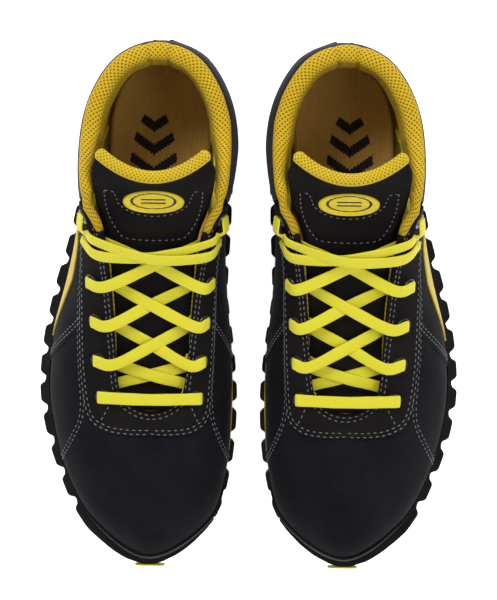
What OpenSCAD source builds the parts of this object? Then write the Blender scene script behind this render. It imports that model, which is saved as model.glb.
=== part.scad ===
// A pair of laced ankle boots: lugged rubber soles, nubuck uppers over a mesh lining,
// padded tongues and flat laces. Toes point to -Y and the floor is z = 0. The right
// boot stands at -X, and the left boot is its mirror image.

/* [Pair] */
// Mean distance between the two boots' centre lines
stance = 105; // [105:1:300]
// Length of one boot over its outsole
boot_length = 300; // [285:1:315]

/* [Upper] */
// Height of the collar's edge at the heel
collar_back_z = 138; // [134:1:144]
// Height of the collar's front corners
collar_front_z = 147; // [144:1:152]
// Thickness of the outer leather
leather = 1.6; // [1.2:0.1:1.6]

/* [Tongue] */
// Thickness of the padded tongue
tongue_t = 6; // [4:0.5:7]
// Height of the tongue's top corners
tongue_top_z = 164; // [162:1:168]

/* [Laces] */
// Width of the flat lace
lace_w = 6.8; // [5:0.2:7]
// Thickness of the flat lace
lace_t = 1.4; // [1:0.1:1.4]
// Radius of the hole in an eyelet
eyelet_r = 2.5; // [2.5:0.1:2.7]

/* [Sole] */
// Depth of the tread grooves
tread_depth = 4; // [2:0.5:5]
// How far the side lugs stand out from the notches between them
side_lug = 3.3; // [2:0.1:3.5]
// Thickness of the outsole under the midsole
outsole_t = 8; // [7:0.5:9]

/* [Hidden] */
PIECES = ["outsole", "midsole", "shank", "insole_board", "footbed", "toe_cap", "heel_counter",
    "lining", "vamp", "lateral_side_panel", "medial_side_panel", "lateral_quarter",
    "medial_quarter", "heel_panel", "collar_panel", "collar_foam", "collar_roll", "facing",
    "eyelets", "side_stripe", "toe_bumper", "toe_tab", "tongue", "tongue_binding",
    "tongue_label", "lace", "aglets"];
NODES = [for (side = ["right", "left"]) for (piece = PIECES) str(side, "_", piece)];
node = "all";

length_scale = boot_length / 300;
toe_out = 1 / 60;           // sideways shift of the centre line per mm towards the toe
gap = 0.2;                  // clearance between stacked slabs
skin_gap = 0.6;             // and between the curved layers of the upper
foam_t = 2;                 // foam, heel counter and toe cap, between leather and lining
pad_t = 4.5;                // extra foam round the collar
lining_t = 1.2;
facing_lining_t = 0.8;      // the lining is thinner under the eyelets
overlay_t = 1.6;            // leather of the pieces sewn on top

// ---- The form of the upper -------------------------------------------------
// Eleven columns run round each half of the boot, from the heel (0) to the toe (10).
// Each has a point on the feather line, where the upper meets the sole: [y, lateral,
// medial], and one on the top line, which is the collar's edge and then the throat's:
// [y, half width, z].
feather_columns = [[143, 0, 0], [132, 25, 25], [108, 35, 34], [75, 37, 34], [40, 42, 35],
    [5, 51, 38], [-28, 58, 42], [-60, 58, 43.5], [-95, 48, 41], [-125, 30, 31], [-144, 0, 0]];
top_columns = [[138, 0, collar_back_z], [131, 20.5, collar_back_z - 1],
    [113, 34, collar_back_z - 4], [90, 40, collar_back_z - 5], [58, 38.5, collar_front_z],
    [39, 28, 130], [8, 23, 106], [-22, 20.2, 90], [-48, 18, 78], [-58, 10, 75], [-61, 0, 74]];
// How the wall leaves the feather line: [outward, up], and how it comes to the top line:
// [outward, share of the way back to the feather line, up]
bulge_columns = [[5, 45, -4, 0.2, -45], [5, 45, -3, 0.1, -45], [5, 45, -2, 0, -45],
    [4, 42, -1, 0, -42], [4, 40, 0, 0, -48], [4, 36, 0, 0.35, -28], [4, 34, 0, 0.38, -14],
    [4, 33, 0, 0.42, -8], [4, 33, 0, 0.45, 0], [4, 35, 0, 0.5, 1], [4, 36, 0, 0.52, 1]];
feather_heights = [[-144, 31], [-120, 27], [-90, 24.5], [-60, 24], [-20, 25], [30, 27],
    [80, 29], [143, 31]];
toe = 10;                   // the column at the toe
round = 20;                 // columns right round the boot

function centre_x(y) = y * toe_out - stance / 2;
function lap(i) = ((i % round) + round) % round;
function folded(c) = let (m = lap(c)) m <= toe ? m : round - m;
function feather_z(y) = lookup(y / length_scale, feather_heights);
function feather_point(i) = let (f = feather_columns[folded(i)], y = f[0] * length_scale)
    [centre_x(y) + (i <= toe ? -f[1] : f[2]), y, feather_z(y)];
function top_point(i) = let (t = top_columns[folded(i)], y = t[0] * length_scale)
    [centre_x(y) + (i <= toe ? -t[1] : t[1]), y, t[2]];
feather_ring = [for (i = [0:round - 1]) feather_point(i)];
top_ring = [for (i = [0:round - 1]) top_point(i)];
function level_out(d) = [d.y, -d.x, 0] / norm([d.x, d.y]);
function ring_out(ring, i) = level_out(ring[lap(i + 1)] - ring[lap(i - 1)]);
low_ring = [for (i = [0:round - 1]) let (b = bulge_columns[folded(i)])
    feather_ring[i] + b[0] * ring_out(feather_ring, i) + [0, 0, b[1]]];
high_ring = [for (i = [0:round - 1]) let (b = bulge_columns[folded(i)],
    way = feather_ring[i] - top_ring[i])
    top_ring[i] + b[2] * ring_out(feather_ring, i) + [way.x * b[3], way.y * b[3], b[4]]];

function catmull(a, b, c, d, t) = 0.5 * (2 * b + (c - a) * t + (2 * a - 5 * b + 4 * c - d) * t * t
    + (3 * b - a - 3 * c + d) * t * t * t);
function along(ring, c) = let (i = floor(c))
    catmull(ring[lap(i - 1)], ring[lap(i)], ring[lap(i + 1)], ring[lap(i + 2)], c - i);
function bezier(p, q, r, s, u) = let (v = 1 - u)
    v * v * v * p + 3 * v * v * u * q + 3 * v * u * u * r + u * u * u * s;
// A point of the upper's outer face: column c round the boot, share u of the way up
function form(c, u) = bezier(along(feather_ring, c), along(low_ring, c), along(high_ring, c),
    along(top_ring, c), u);
function unit(v) = v / norm(v);
function form_up(c, u) = unit(form(c, u + 0.01) - form(c, u - 0.01));
function form_out(c, u) = unit(cross(form(c + 0.05, u) - form(c - 0.05, u), form_up(c, u)));
// The same point moved out of the upper by d
function on_form(c, u, d = 0) = form(c, u) + d * form_out(c, u);

// ---- Solids from loops of points -------------------------------------------
// Closed solid through stations, each a loop of as many points
module loft(stations, closed = false) {
    n = len(stations);
    m = len(stations[0]);
    points = [for (s = stations) each s];
    walls = [for (i = [0:(closed ? n : n - 1) - 1]) for (j = [0:m - 1])
        let (k = ((i + 1) % n) * m, a = i * m + j, b = i * m + (j + 1) % m)
        each [[a, b, k + (j + 1) % m], [a, k + (j + 1) % m, k + j]]];
    last = (n - 1) * m;
    caps = closed ? [] : [for (j = [0:m / 2 - 2]) let (k = m - 1 - j)
        each [[j, k, k - 1], [j, k - 1, j + 1],
            [last + j, last + k - 1, last + k], [last + j, last + j + 1, last + k - 1]]];
    polyhedron(points, concat(walls, caps), convexity = 8);
}

// A panel of the upper from column c0 to c1 and from height lo(c) to hi(c). It fills the
// layer between the offsets inner(c, u) and outer(c, u).
module panel(c0, c1, nc, nu, lo, hi, inner, outer, closed = false) {
    loft([for (i = [0:closed ? nc - 1 : nc]) let (c = c0 + (c1 - c0) * i / nc) concat(
        [for (j = [0:nu]) let (u = lo(c) + (hi(c) - lo(c)) * j / nu) on_form(c, u, outer(c, u))],
        [for (j = [nu:-1:0]) let (u = lo(c) + (hi(c) - lo(c)) * j / nu)
            on_form(c, u, inner(c, u))])], closed);
}

// A slab whose outline follows the feather line. Each level, from the bottom up, is
// [offset as a function of the column, height as a function of y].
slab_points = 44;
function feather_edge(c, offset) = along(feather_ring, c)
    + offset * level_out(along(feather_ring, c + 0.05) - along(feather_ring, c - 0.05));
module slab(levels) {
    n = slab_points;
    points = [for (v = levels) for (i = [0:n - 1]) let (c = i * round / n,
        p = feather_edge(c, v[0](c))) [p.x, p.y, v[1](p.y)]];
    top = (len(levels) - 1) * n;
    walls = [for (k = [0:len(levels) - 2]) for (i = [0:n - 1])
        let (a = k * n + i, b = k * n + (i + 1) % n) each [[a, a + n, b + n], [a, b + n, b]]];
    ribs = [for (i = [1:n / 2 - 2]) each [[i, i + 1, n - i - 1], [i, n - i - 1, n - i],
        [top + i, top + n - i - 1, top + i + 1], [top + i, top + n - i, top + n - i - 1]]];
    ends = [[0, 1, n - 1], [n / 2 - 1, n / 2, n / 2 + 1],
        [top, top + n - 1, top + 1], [top + n / 2 - 1, top + n / 2 + 1, top + n / 2]];
    polyhedron(points, concat(walls, ribs, ends), convexity = 4);
}

// ---- Sole ------------------------------------------------------------------
// How far the lugs' tips stand out from the feather line, round the boot
flare_columns = [[0, 7], [1, 5.5], [2, 6.5], [3, 8], [4, 9], [5, 9], [6, 7.5], [7, 7], [8, 6.5],
    [9, 8], [10, 6], [11, 3.5], [12, 3.5], [13, 3.5], [14, 2.5], [15, 1.5], [16, 5.5], [17, 7],
    [18, 5], [19, 3], [20, 7]];
wall_t = 1.6;               // the outsole's wall behind the notches
lug_count = 40;             // side lugs, if they ran right round
// One side lug: [share of the pitch, share of its depth]
lug_outline = [[0, 0], [0.1, 0.04], [0.19, 0.22], [0.24, 0.6], [0.3, 0.92], [0.37, 1], [0.76, 1],
    [0.83, 0.92], [0.9, 0.6], [0.95, 0.22]];
smooth_toe = 1.1;           // columns at the toe without lugs
wall_tops = [[-150, 27], [-120, 22], [-70, 18], [-20, 17.5], [20, 18], [60, 21], [110, 24],
    [150, 27]];
sole_floors = [[-150, 21], [-120, 13], [-90, 8], [150, 8]];
tread_heel = 140;           // where the flat tread ends at the heel
tread_toe = -84;            // and where it starts to rise to the toe
heel_bevel = 8;
toe_radius = 170;

function flare(c) = lookup(lap(c), flare_columns);
function notch(c) = abs(lap(c) - toe) < smooth_toe ? 0 : side_lug;
function wall_in(c) = flare(c) - side_lug - wall_t;
function wall_top_z(y) = lookup(y / length_scale, wall_tops);
function sole_floor_z(y) = lookup(y / length_scale, sole_floors) + outsole_t - 8;
function plan(p) = [p.x, p.y];

// Side view, drawn as [y, z], made wide enough for the boot
module side_view(outline) {
    translate([-stance - 100, 0, 0]) rotate([90, 0, 90]) linear_extrude(stance + 200)
        polygon(outline);
}

module outsole() {
    lugs = [for (k = [0:lug_count - 1]) for (p = lug_outline)
        let (c = (k + p[0]) * round / lug_count)
        plan(feather_edge(c, flare(c) - (1 - p[1]) * notch(c)))];
    cavity = [for (i = [0:slab_points - 1]) let (c = i * round / slab_points)
        plan(feather_edge(c, wall_in(c)))];
    toe_curve = [for (a = [0:5:25]) [length_scale * tread_toe - toe_radius * sin(a),
        toe_radius * (1 - cos(a))]];
    rim = [for (w = wall_tops) [w[0] * length_scale, w[1]]];
    floor_line = [for (f = sole_floors) [f[0] * length_scale, sole_floor_z(f[0] * length_scale)]];
    heel_y = length_scale * tread_heel;
    color("#1b1b1d") difference() {
        intersection() {
            linear_extrude(40) polygon(lugs);
            side_view(concat([[170, 30], [170, 12], [heel_y + heel_bevel, 3], [heel_y, 0]],
                toe_curve, [[-170, 20], [-170, 27]], rim));
        }
        intersection() {
            translate([0, 0, 2]) linear_extrude(60) polygon(cavity);
            side_view(concat([[-170, 60], [-170, 26]], floor_line, [[170, 8], [170, 60]]));
        }
        for (i = [0:10]) translate([centre_x(0), heel_y - 12 - 20 * i, -1])
            linear_extrude(tread_depth + 1)
            polygon([[-90, 12], [0, -3], [90, 12], [90, 17], [0, 2], [-90, 17]]);
    }
}

board_t = 2;
module midsole() {
    color("#d99a1e") slab([
        [function(c) wall_in(c) - gap, function(y) sole_floor_z(y) + gap],
        [function(c) wall_in(c) - gap, function(y) wall_top_z(y)],
        [function(c) 0, function(y) feather_z(y) - board_t - 2 * gap]]);
}

module insole_board() {
    color("#c9b48a") difference() {
        slab([
            [function(c) -gap, function(y) feather_z(y) - board_t - gap],
            [function(c) -gap, function(y) feather_z(y) - gap]]);
        shank_body(gap);
    }
}

shank_y = [-10, 85];        // from the arch to the heel
shank_w = 16;
shank_t = 1.2;
module shank_body(room = 0) {
    y0 = shank_y[0];
    y1 = shank_y[1];
    x = centre_x((y0 + y1) / 2) - 2;
    translate([x - shank_w / 2 - room, 0, 0]) rotate([90, 0, 90]) linear_extrude(shank_w + 2 * room)
        polygon([[y0 - room, feather_z(y0) - shank_t - room],
            [y1 + room, feather_z(y1) - shank_t - room],
            [y1 + room, feather_z(y1) + room], [y0 - room, feather_z(y0) + room]]);
}
module shank() {
    color("#8c8f94") shank_body();
}

footbed_in = -7;            // the footbed's edge, measured in from the feather line
module footbed() {
    color("#b8901e") slab([
        [function(c) footbed_in - 1, function(y) feather_z(y) + 2.5 * gap],
        [function(c) footbed_in, function(y) feather_z(y) + 2],
        [function(c) footbed_in,
            function(y) feather_z(y) + lookup(y, [[-60, 4], [40, 7], [140, 8]])],
        [function(c) footbed_in - 4, function(y) feather_z(y) + 4]]);
}

// ---- Layers of the upper ---------------------------------------------------
// 1 at the throat, where the lining lies straight on the leather, and 0 elsewhere
function throat(c, u) = lookup(folded(c), [[4.05, 0], [4.4, 1]]) * lookup(u, [[0.68, 0], [0.76, 1]]);
// How much thicker the foam is round the collar
function pad(c, u) = pad_t * lookup(folded(c), [[3, 1], [3.7, 0]])
    * lookup(u, [[lining_row(4), 0], [lining_row(5), 0.65], [lining_row(6), 1],
        [lining_row(7), 0.9], [roll_u, 0.8]]);
leather_in = function(c, u) -leather;
leather_out = function(c, u) 0;
foam_out = function(c, u) -leather - skin_gap;
foam_in = function(c, u) -leather - skin_gap - foam_t - pad(c, u);
lining_out = function(c, u) -leather - skin_gap - (1 - throat(c, u)) * (foam_t + skin_gap + pad(c, u));
lining_in = function(c, u) lining_out(c, u) - lining_t
    + throat(c, u) * (lining_t - facing_lining_t);
overlay_in = function(c, u) skin_gap;
overlay_out = function(c, u) skin_gap + overlay_t;
trim_out = function(c, u) skin_gap + 1.2;

roll_end = 5;               // the collar roll's front ends, in columns from the heel
roll_u = 0.955;             // height of the roll's centre line on the form
roll_half = 4;              // and half its height
roll_bottom = function(c) folded(c) <= roll_end + 0.05 ? 0.915 : 1;
lining_foot = 0.03;
lining_top = 0.9;
lining_columns = 44;
column_pitch = round / lining_columns;
// Heights of the lining's rows of points, which the collar's foam shares
function lining_row(i) = lining_foot + (lining_top - lining_foot) * i / 7;

foot = function(c) 0;
top_edge = function(c) 1;

// Eyelets, from the toe up: [column, height on the form]
eyelet_places = [[7.75, 0.84], [7.05, 0.83], [6.35, 0.83], [5.65, 0.81], [4.97, 0.81],
    [4.5, 0.87]];
function place(row, lateral) = let (p = eyelet_places[row]) [lateral ? p[0] : round - p[0], p[1]];
module at_eyelets() {
    for (row = [0:5]) for (lateral = [true, false]) {
        p = place(row, lateral);
        n = form_out(p[0], p[1]);
        translate(form(p[0], p[1])) rotate([0, acos(n.z), atan2(n.y, n.x)]) children();
    }
}
barrel_t = 0.5;
module pierced() {
    difference() {
        children();
        at_eyelets() translate([0, 0, -8]) cylinder(h = 14, r = eyelet_r + barrel_t + gap, $fn = 32);
    }
}
rim_t = 0.6;                // an eyelet's rim, and how far it stands past the barrel
rim_w = 1.3;
crimp_w = 0.8;              // the crimped edge inside
module eyelets() {
    low = -leather - skin_gap - facing_lining_t - 2 * gap;
    high = skin_gap + overlay_t + 2 * gap;
    r0 = eyelet_r;
    r1 = eyelet_r + barrel_t;
    color("#2b2b2e") at_eyelets() rotate_extrude($fn = 32) polygon([[r0, low - rim_t],
        [r1 + crimp_w, low - rim_t], [r1 + crimp_w, low], [r1, low], [r1, high],
        [r1 + rim_w, high], [r1 + rim_w - 0.3, high + rim_t], [r0, high + rim_t]]);
}

vamp_side = 7.7;            // column of the seam between the vamp and the side panels
quarter_front = 6.2;        // between the side panels and the quarters
quarter_back = 2.2;         // between the quarters and the heel panel
seam = 0.02;                // half the gap at a seam, in columns
quarter_top = function(c) folded(c) < 4.1 ? 0.78 : folded(c) <= roll_end ? 0.9 : 1;

module vamp() {
    color("#232227") pierced() panel(vamp_side, round - vamp_side, 18, 6, foot, top_edge,
        leather_in, leather_out);
}
module side_panel(c0, c1) {
    color("#232227") pierced() panel(c0, c1, 6, 6, foot, top_edge, leather_in, leather_out);
}
module lateral_side_panel() {
    side_panel(quarter_front + seam, vamp_side - seam);
}
module medial_side_panel() {
    side_panel(round - vamp_side + seam, round - quarter_front - seam);
}
module quarter(c0, c1) {
    color("#232227") pierced() panel(c0, c1, 12, 7, foot, quarter_top, leather_in, leather_out);
}
module lateral_quarter() {
    quarter(quarter_back + seam, quarter_front - seam);
}
module medial_quarter() {
    quarter(round - quarter_front + seam, round - quarter_back - seam);
}
module heel_panel() {
    color("#232227") panel(-quarter_back + seam, quarter_back - seam, 10, 6, foot,
        function(c) 0.78, leather_in, leather_out);
}
module collar_panel() {
    color("#39363c") panel(-3.8, 3.8, 18, 2, function(c) 0.79, roll_bottom, leather_in, leather_out);
}
module collar_foam() {
    color("#d8d3c4") panel(-9 * column_pitch, 9 * column_pitch, 18, 3, function(c) lining_row(4),
        function(c) lining_top, foam_in, foam_out);
}
module heel_counter() {
    color("#6d6a66") panel(-3, 3, 14, 4, function(c) lining_foot, function(c) 0.51, foam_in, foam_out);
}
module toe_cap() {
    color("#77797d") panel(8, 12, 14, 5, function(c) lining_foot, function(c) 0.64, foam_in, foam_out);
}
module lining() {
    color("#d9a516") pierced() panel(0, round, lining_columns, 7, function(c) lining_foot,
        function(c) lookup(folded(c), [[roll_end, lining_top], [roll_end + 0.3, 0.995]]),
        lining_in, lining_out, closed = true);
}
module collar_roll() {
    color("#e0a91a") loft([for (i = [0:30]) let (c = roll_end * (i / 15 - 1),
        half_t = -lining_in(c, roll_u) / 2, middle = on_form(c, roll_u, -half_t),
        n = form_out(c, roll_u), up = form_up(c, roll_u), tip = i == 0 || i == 30 ? 0.6 : 1)
        [for (a = [0:36:324]) middle + tip * (half_t * cos(a) * n + roll_half * sin(a) * up)]]);
}

facing_back = 4.15;         // column of the facing's upper end, by the collar
facing_low = function(c) lookup(folded(c), [[facing_back, 0.8], [4.4, 0.7], [5, 0.66],
    [7.8, 0.66], [8.5, 0.77], [9, 0.84], [10, 0.9]]);
module facing() {
    color("#2d2b2a") pierced() panel(facing_back, round - facing_back, 34, 3, facing_low,
        function(c) 0.995, overlay_in, overlay_out);
}
module side_stripe() {
    color("#b99b2b") panel(4.5, 6.1, 8, 2, function(c) lookup(c, [[4.5, 0.5], [6.1, 0.1]]),
        function(c) lookup(c, [[4.5, 0.57], [6.1, 0.4]]), overlay_in, trim_out);
}
module toe_bumper() {
    color("#1b1b1d") panel(8.3, 11.7, 16, 2, function(c) 0.03,
        function(c) lookup(c, [[8.3, 0.06], [9.2, 0.16], [10.8, 0.16], [11.7, 0.06]]),
        overlay_in, overlay_out);
}
tab_w = 17;
module toe_tab() {
    y = -boot_length / 2;
    color("#e3c51c") translate([centre_x(y) - tab_w / 2, 0, 0]) rotate([90, 0, 90])
        linear_extrude(tab_w)
        polygon([[y - 1.3, 16], [y - 1.3, 25], [y - 0.2, 25.5], [y - 0.2, 15.5]]);
}

// ---- Tongue ----------------------------------------------------------------
tongue_room = lace_t + 2.6;     // room for a lace between the lining and the tongue
tongue_columns = [9, 8.5, 8, 7.5, 7, 6.5, 6, 5.5, 5, 4.5];
tongue_tops = [[64, 32.5, 150], [71, 31, 158], [76, 29, tongue_top_z]];   // [y, half width, z]
tongue_dip = [-1.5, -3, -3];    // how far the centre lies below the edges
tongue_scoop = [5, 10, 13];     // and how far it lies towards the toe
function tongue_out(c, u) = lining_in(c, u) - tongue_room;
function wing(c, u) = [on_form(c, u, tongue_out(c, u)), on_form(c, u, tongue_out(c, u) - 2.5)];
function tongue_loop(c) = let (m = round - c, a = wing(c, 0.84), b = wing(c, 0.97),
    d = wing(m, 0.97), e = wing(m, 0.84), middle = (b[0] + d[0]) / 2,
    down = [0, 0.35, -0.93] * tongue_t)
    [a[0], b[0], (b[0] + middle) / 2, middle, (d[0] + middle) / 2, d[0], e[0],
        e[1], d[0] + down * 0.6, (d[0] + middle) / 2 + down, middle + down,
        (b[0] + middle) / 2 + down, b[0] + down * 0.6, a[1]];
// Point of the tongue's face at top station i, s = -1 to 1 across it
function tongue_top(i, s) = let (t = tongue_tops[i])
    [centre_x(t[0]) + s * t[1], t[0] - tongue_scoop[i] * (1 - s * s),
        t[2] + tongue_dip[i] * (1 - s * s)];
function top_loop(i) = let (down = [0, 4.4, -1.6] * tongue_t / 6,
    spans = [-1, -0.85, -0.45, 0, 0.45, 0.85, 1])
    concat([for (s = spans) tongue_top(i, s)],
        [for (k = [6:-1:0]) tongue_top(i, spans[k]) + down * (abs(spans[k]) == 1 ? 0.5 : 1)]);
module tongue() {
    color("#2b2928") loft(concat([for (c = tongue_columns) tongue_loop(c)],
        [for (i = [0:2]) top_loop(i)]));
}
binding_r = 2.2;
module tongue_binding() {
    color("#d9b11c") loft([for (i = [0:12])
        let (middle = tongue_top(2, i / 6 - 1) + [0, binding_r, binding_r])
        [for (a = [0:45:315]) middle + binding_r * [0, 1.5 * cos(a), sin(a)]]]);
}
label_w = 33;
module tongue_label() {
    out = [0, -1, 0.6];
    color("#e3c51c") loft([for (i = [0:8]) let (s = (i / 4 - 1) * label_w / 66,
        low = tongue_top(0, s), high = tongue_top(1, s))
        [for (p = [[-0.2, 0.4], [0.9, 0.4], [0.9, 1.4], [-0.2, 1.4]])
            low + (high - low) * p[0] + out * p[1]]]);
}

// ---- Lace ------------------------------------------------------------------
over = skin_gap + overlay_t + 6 * gap + lace_t / 2;      // lace lying on the eyelets' rims
under = leather + skin_gap + facing_lining_t + 6 * gap + lace_t / 2;   // and under them
edge_u = 0.975;
bunched_w = 2.8;            // the lace is gathered in an eyelet
bunched_t = 1.6;
function lace_up(row) = let (a = place(row, true), b = place(row, false))
    unit(form_out(a[0], a[1]) + form_out(b[0], b[1]));
// Each stop is [point, outward direction, width]
function at_eyelet(row, lateral, d, w) = let (p = place(row, lateral))
    [on_form(p[0], p[1], d), form_out(p[0], p[1]), w];
function through(row, lateral, d0, d1) = [at_eyelet(row, lateral, d0, bunched_w),
    at_eyelet(row, lateral, d1, bunched_w)];
function at_edge(row, lateral, t, d) = let (p = place(row, lateral),
    q = place(min(row + 1, 5), lateral), c = p[0] + (q[0] - p[0]) * t)
    [on_form(c, edge_u, d), form_out(c, edge_u), lace_w];
// One strand from row to row + 1, from the side lateral to the other one
function crossing(row, lateral, start, end, lift) = let (a = at_edge(row, lateral, 0.15, start),
    b = at_edge(row, !lateral, 0.7, end), n = lace_up(row))
    [a, [(a[0] + b[0]) / 2 + n * lift, n, lace_w], b];
function half_lace(lateral) = concat(
    through(0, lateral, over - 0.6, -under),
    crossing(0, lateral, -under, -under, lateral ? 2.2 : 0.2),
    through(1, !lateral, -under, over),
    crossing(1, !lateral, over, -under, lateral ? -0.8 : 1.2),
    through(2, lateral, -under, over),
    crossing(2, lateral, over, -under, lateral ? 1.2 : -0.8),
    through(3, !lateral, -under, over),
    crossing(3, !lateral, over, -under, lateral ? -0.8 : 1.2),
    through(4, lateral, -under, over),
    crossing(4, lateral, over, over, lateral ? 3.2 : 1.2),
    [at_eyelet(5, !lateral, over + 0.4, lace_w)],
    through(5, !lateral, over - 0.6, -under),
    tail(!lateral));
// The loose end runs down inside the quarter, and ends in its aglet
tail_places = [[4.15, 0.8], [3.95, 0.72], [3.75, 0.65], [3.5, 0.58], [3.2, 0.53], [2.9, 0.48],
    [2.7, 0.44]];
aglet_tip = [2.5, 0.3];
aglet_r = 1.3;
function in_shaft(place, lateral) = let (c = lateral ? place[0] : round - place[0])
    [on_form(c, place[1], lining_in(c, place[1]) - aglet_r - 2 * gap), form_out(c, place[1]),
        lace_w - 1.5];
function tail(lateral) = [for (p = tail_places) in_shaft(p, lateral)];
function reversed(list) = [for (i = [len(list) - 1:-1:0]) list[i]];
bar = [let (a = at_eyelet(0, true, over + 0.3, lace_w), b = at_eyelet(0, false, over + 0.3, lace_w))
    [(a[0] + b[0]) / 2 + lace_up(0) * 2.5, lace_up(0), lace_w]];   // the straight strand by the toe
lace_route = concat(reversed(half_lace(true)), bar, half_lace(false));
lace_section = [[1, 0.5], [0.7, 1], [-0.7, 1], [-1, 0.5], [-1, -0.5], [-0.7, -1], [0.7, -1],
    [1, -0.5]];
module lace() {
    n = len(lace_route);
    color("#f2e010") loft([for (i = [0:n - 1]) let (stop = lace_route[i],
        way = unit(lace_route[min(i + 1, n - 1)][0] - lace_route[max(i - 1, 0)][0]),
        across = unit(cross(stop[1], way) + 0.001 * [1, 1, 0]), thick = unit(cross(way, across)),
        w = stop[2] / 2, t = (stop[2] == bunched_w ? bunched_t : lace_t) / 2)
        [for (p = lace_section) stop[0] + p[0] * w * across + p[1] * t * thick]]);
}
aglet_length = 22;
module aglets() {
    color("#e3c51c") for (lateral = [true, false]) {
        end = in_shaft(tail_places[len(tail_places) - 1], lateral)[0];
        way = unit(in_shaft(aglet_tip, lateral)[0] - end);
        translate(end + way * 4 * gap) rotate([0, acos(way.z), atan2(way.y, way.x)])
            cylinder(h = aglet_length, r = aglet_r, $fn = 24);
    }
}

// ---- The pair --------------------------------------------------------------
function shows(side, piece) = node == "all" || node == str(side, "_", piece);
module boot(side) {
    if (shows(side, "outsole")) outsole();
    if (shows(side, "midsole")) midsole();
    if (shows(side, "shank")) shank();
    if (shows(side, "insole_board")) insole_board();
    if (shows(side, "footbed")) footbed();
    if (shows(side, "toe_cap")) toe_cap();
    if (shows(side, "heel_counter")) heel_counter();
    if (shows(side, "lining")) lining();
    if (shows(side, "vamp")) vamp();
    if (shows(side, "lateral_side_panel")) lateral_side_panel();
    if (shows(side, "medial_side_panel")) medial_side_panel();
    if (shows(side, "lateral_quarter")) lateral_quarter();
    if (shows(side, "medial_quarter")) medial_quarter();
    if (shows(side, "heel_panel")) heel_panel();
    if (shows(side, "collar_panel")) collar_panel();
    if (shows(side, "collar_foam")) collar_foam();
    if (shows(side, "collar_roll")) collar_roll();
    if (shows(side, "facing")) facing();
    if (shows(side, "eyelets")) eyelets();
    if (shows(side, "side_stripe")) side_stripe();
    if (shows(side, "toe_bumper")) toe_bumper();
    if (shows(side, "toe_tab")) toe_tab();
    if (shows(side, "tongue")) tongue();
    if (shows(side, "tongue_binding")) tongue_binding();
    if (shows(side, "tongue_label")) tongue_label();
    if (shows(side, "lace")) lace();
    if (shows(side, "aglets")) aglets();
}
boot("right");
mirror([1, 0, 0]) boot("left");
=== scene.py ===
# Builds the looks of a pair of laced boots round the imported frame.
import math

import bpy
import numpy as np
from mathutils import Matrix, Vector
from mathutils.bvhtree import BVHTree


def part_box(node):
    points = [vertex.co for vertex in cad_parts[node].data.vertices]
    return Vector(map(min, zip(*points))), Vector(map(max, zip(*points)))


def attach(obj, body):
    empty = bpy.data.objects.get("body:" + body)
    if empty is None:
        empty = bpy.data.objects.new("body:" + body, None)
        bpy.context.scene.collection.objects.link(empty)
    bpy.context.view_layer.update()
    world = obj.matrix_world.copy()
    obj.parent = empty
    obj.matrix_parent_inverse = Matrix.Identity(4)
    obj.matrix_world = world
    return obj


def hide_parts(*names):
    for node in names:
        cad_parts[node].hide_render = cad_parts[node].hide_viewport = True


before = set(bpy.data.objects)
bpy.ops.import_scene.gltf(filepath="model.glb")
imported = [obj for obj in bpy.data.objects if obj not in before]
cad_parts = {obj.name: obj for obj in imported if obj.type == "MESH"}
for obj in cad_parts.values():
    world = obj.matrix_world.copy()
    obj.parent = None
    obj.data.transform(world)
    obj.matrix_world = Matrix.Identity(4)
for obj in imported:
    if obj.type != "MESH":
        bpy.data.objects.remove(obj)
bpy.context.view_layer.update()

metre = 0.001               # the shapes below are worked out in millimetres


def boxOf(node):
    low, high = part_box(node)
    return np.array(low) / metre, np.array(high) / metre


# The camera looks straight down on the pair from 1.5 m
view = {"height": 1.5, "lens": 155.0, "sensor": 36, "roll": 0.82, "x": -0.00075, "y": 0.0014}
camera = bpy.data.objects.new("camera", bpy.data.cameras.new("camera"))
bpy.context.scene.collection.objects.link(camera)
camera.location = (view["x"], view["y"], view["height"])
camera.rotation_euler = (0, 0, math.radians(view["roll"]))
camera.data.lens, camera.data.sensor_width = view["lens"], view["sensor"]
bpy.context.scene.camera = camera
bpy.context.scene.view_settings.view_transform = "Standard"

# The form that the uppers follow. Eleven columns run round each half of a boot, from the
# heel (0) to the toe (10) and back to the heel (20), and u runs up the wall from the sole
# (0) to the top line (1).
upper = {
    "feather": [(143, 0, 0), (132, 25, 25), (108, 35, 34), (75, 37, 34), (40, 42, 35), (5, 51, 38),
                (-28, 58, 42), (-60, 58, 43.5), (-95, 48, 41), (-125, 30, 31), (-144, 0, 0)],
    "top": [(138, 0, 138), (131, 20.5, 137), (113, 34, 134), (90, 40, 133), (58, 38.5, 147), (39, 28, 130),
            (8, 23, 106), (-22, 20.2, 90), (-48, 18, 78), (-58, 10, 75), (-61, 0, 74)],
    "bulge": [(5, 45, -4, 0.2, -45), (5, 45, -3, 0.1, -45), (5, 45, -2, 0, -45), (4, 42, -1, 0, -42),
              (4, 40, 0, 0, -48), (4, 36, 0, 0.35, -28), (4, 34, 0, 0.38, -14), (4, 33, 0, 0.42, -8),
              (4, 33, 0, 0.45, 0), (4, 35, 0, 0.5, 1), (4, 36, 0, 0.52, 1)],
    "featherZ": [(-144, 31), (-120, 27), (-90, 24.5), (-60, 24), (-20, 25), (30, 27), (80, 29), (143, 31)],
    "leather": 1.6,          # thickness of the outer leather
    "gap": 0.6,              # room between leather and foam
    "foam": 2.0,             # thickness of the foam in the wall
    "pad": 4.5,              # and how much thicker it is in the collar
    "drawnLength": 300,      # length of the sole that these numbers were drawn for
    "toeOut": 1 / 60,        # sideways lean of a boot's centre line
}
toe, lapColumns = 10, 20
soleLow, soleHigh = boxOf("right_outsole")
tabLow, tabHigh = boxOf("right_toe_tab")
toeOut = upper["toeOut"]
lengthScale = (soleHigh[1] - soleLow[1]) / upper["drawnLength"]
stance = -(tabLow[0] + tabHigh[0]) - (soleHigh[1] - soleLow[1]) * toeOut


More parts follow.
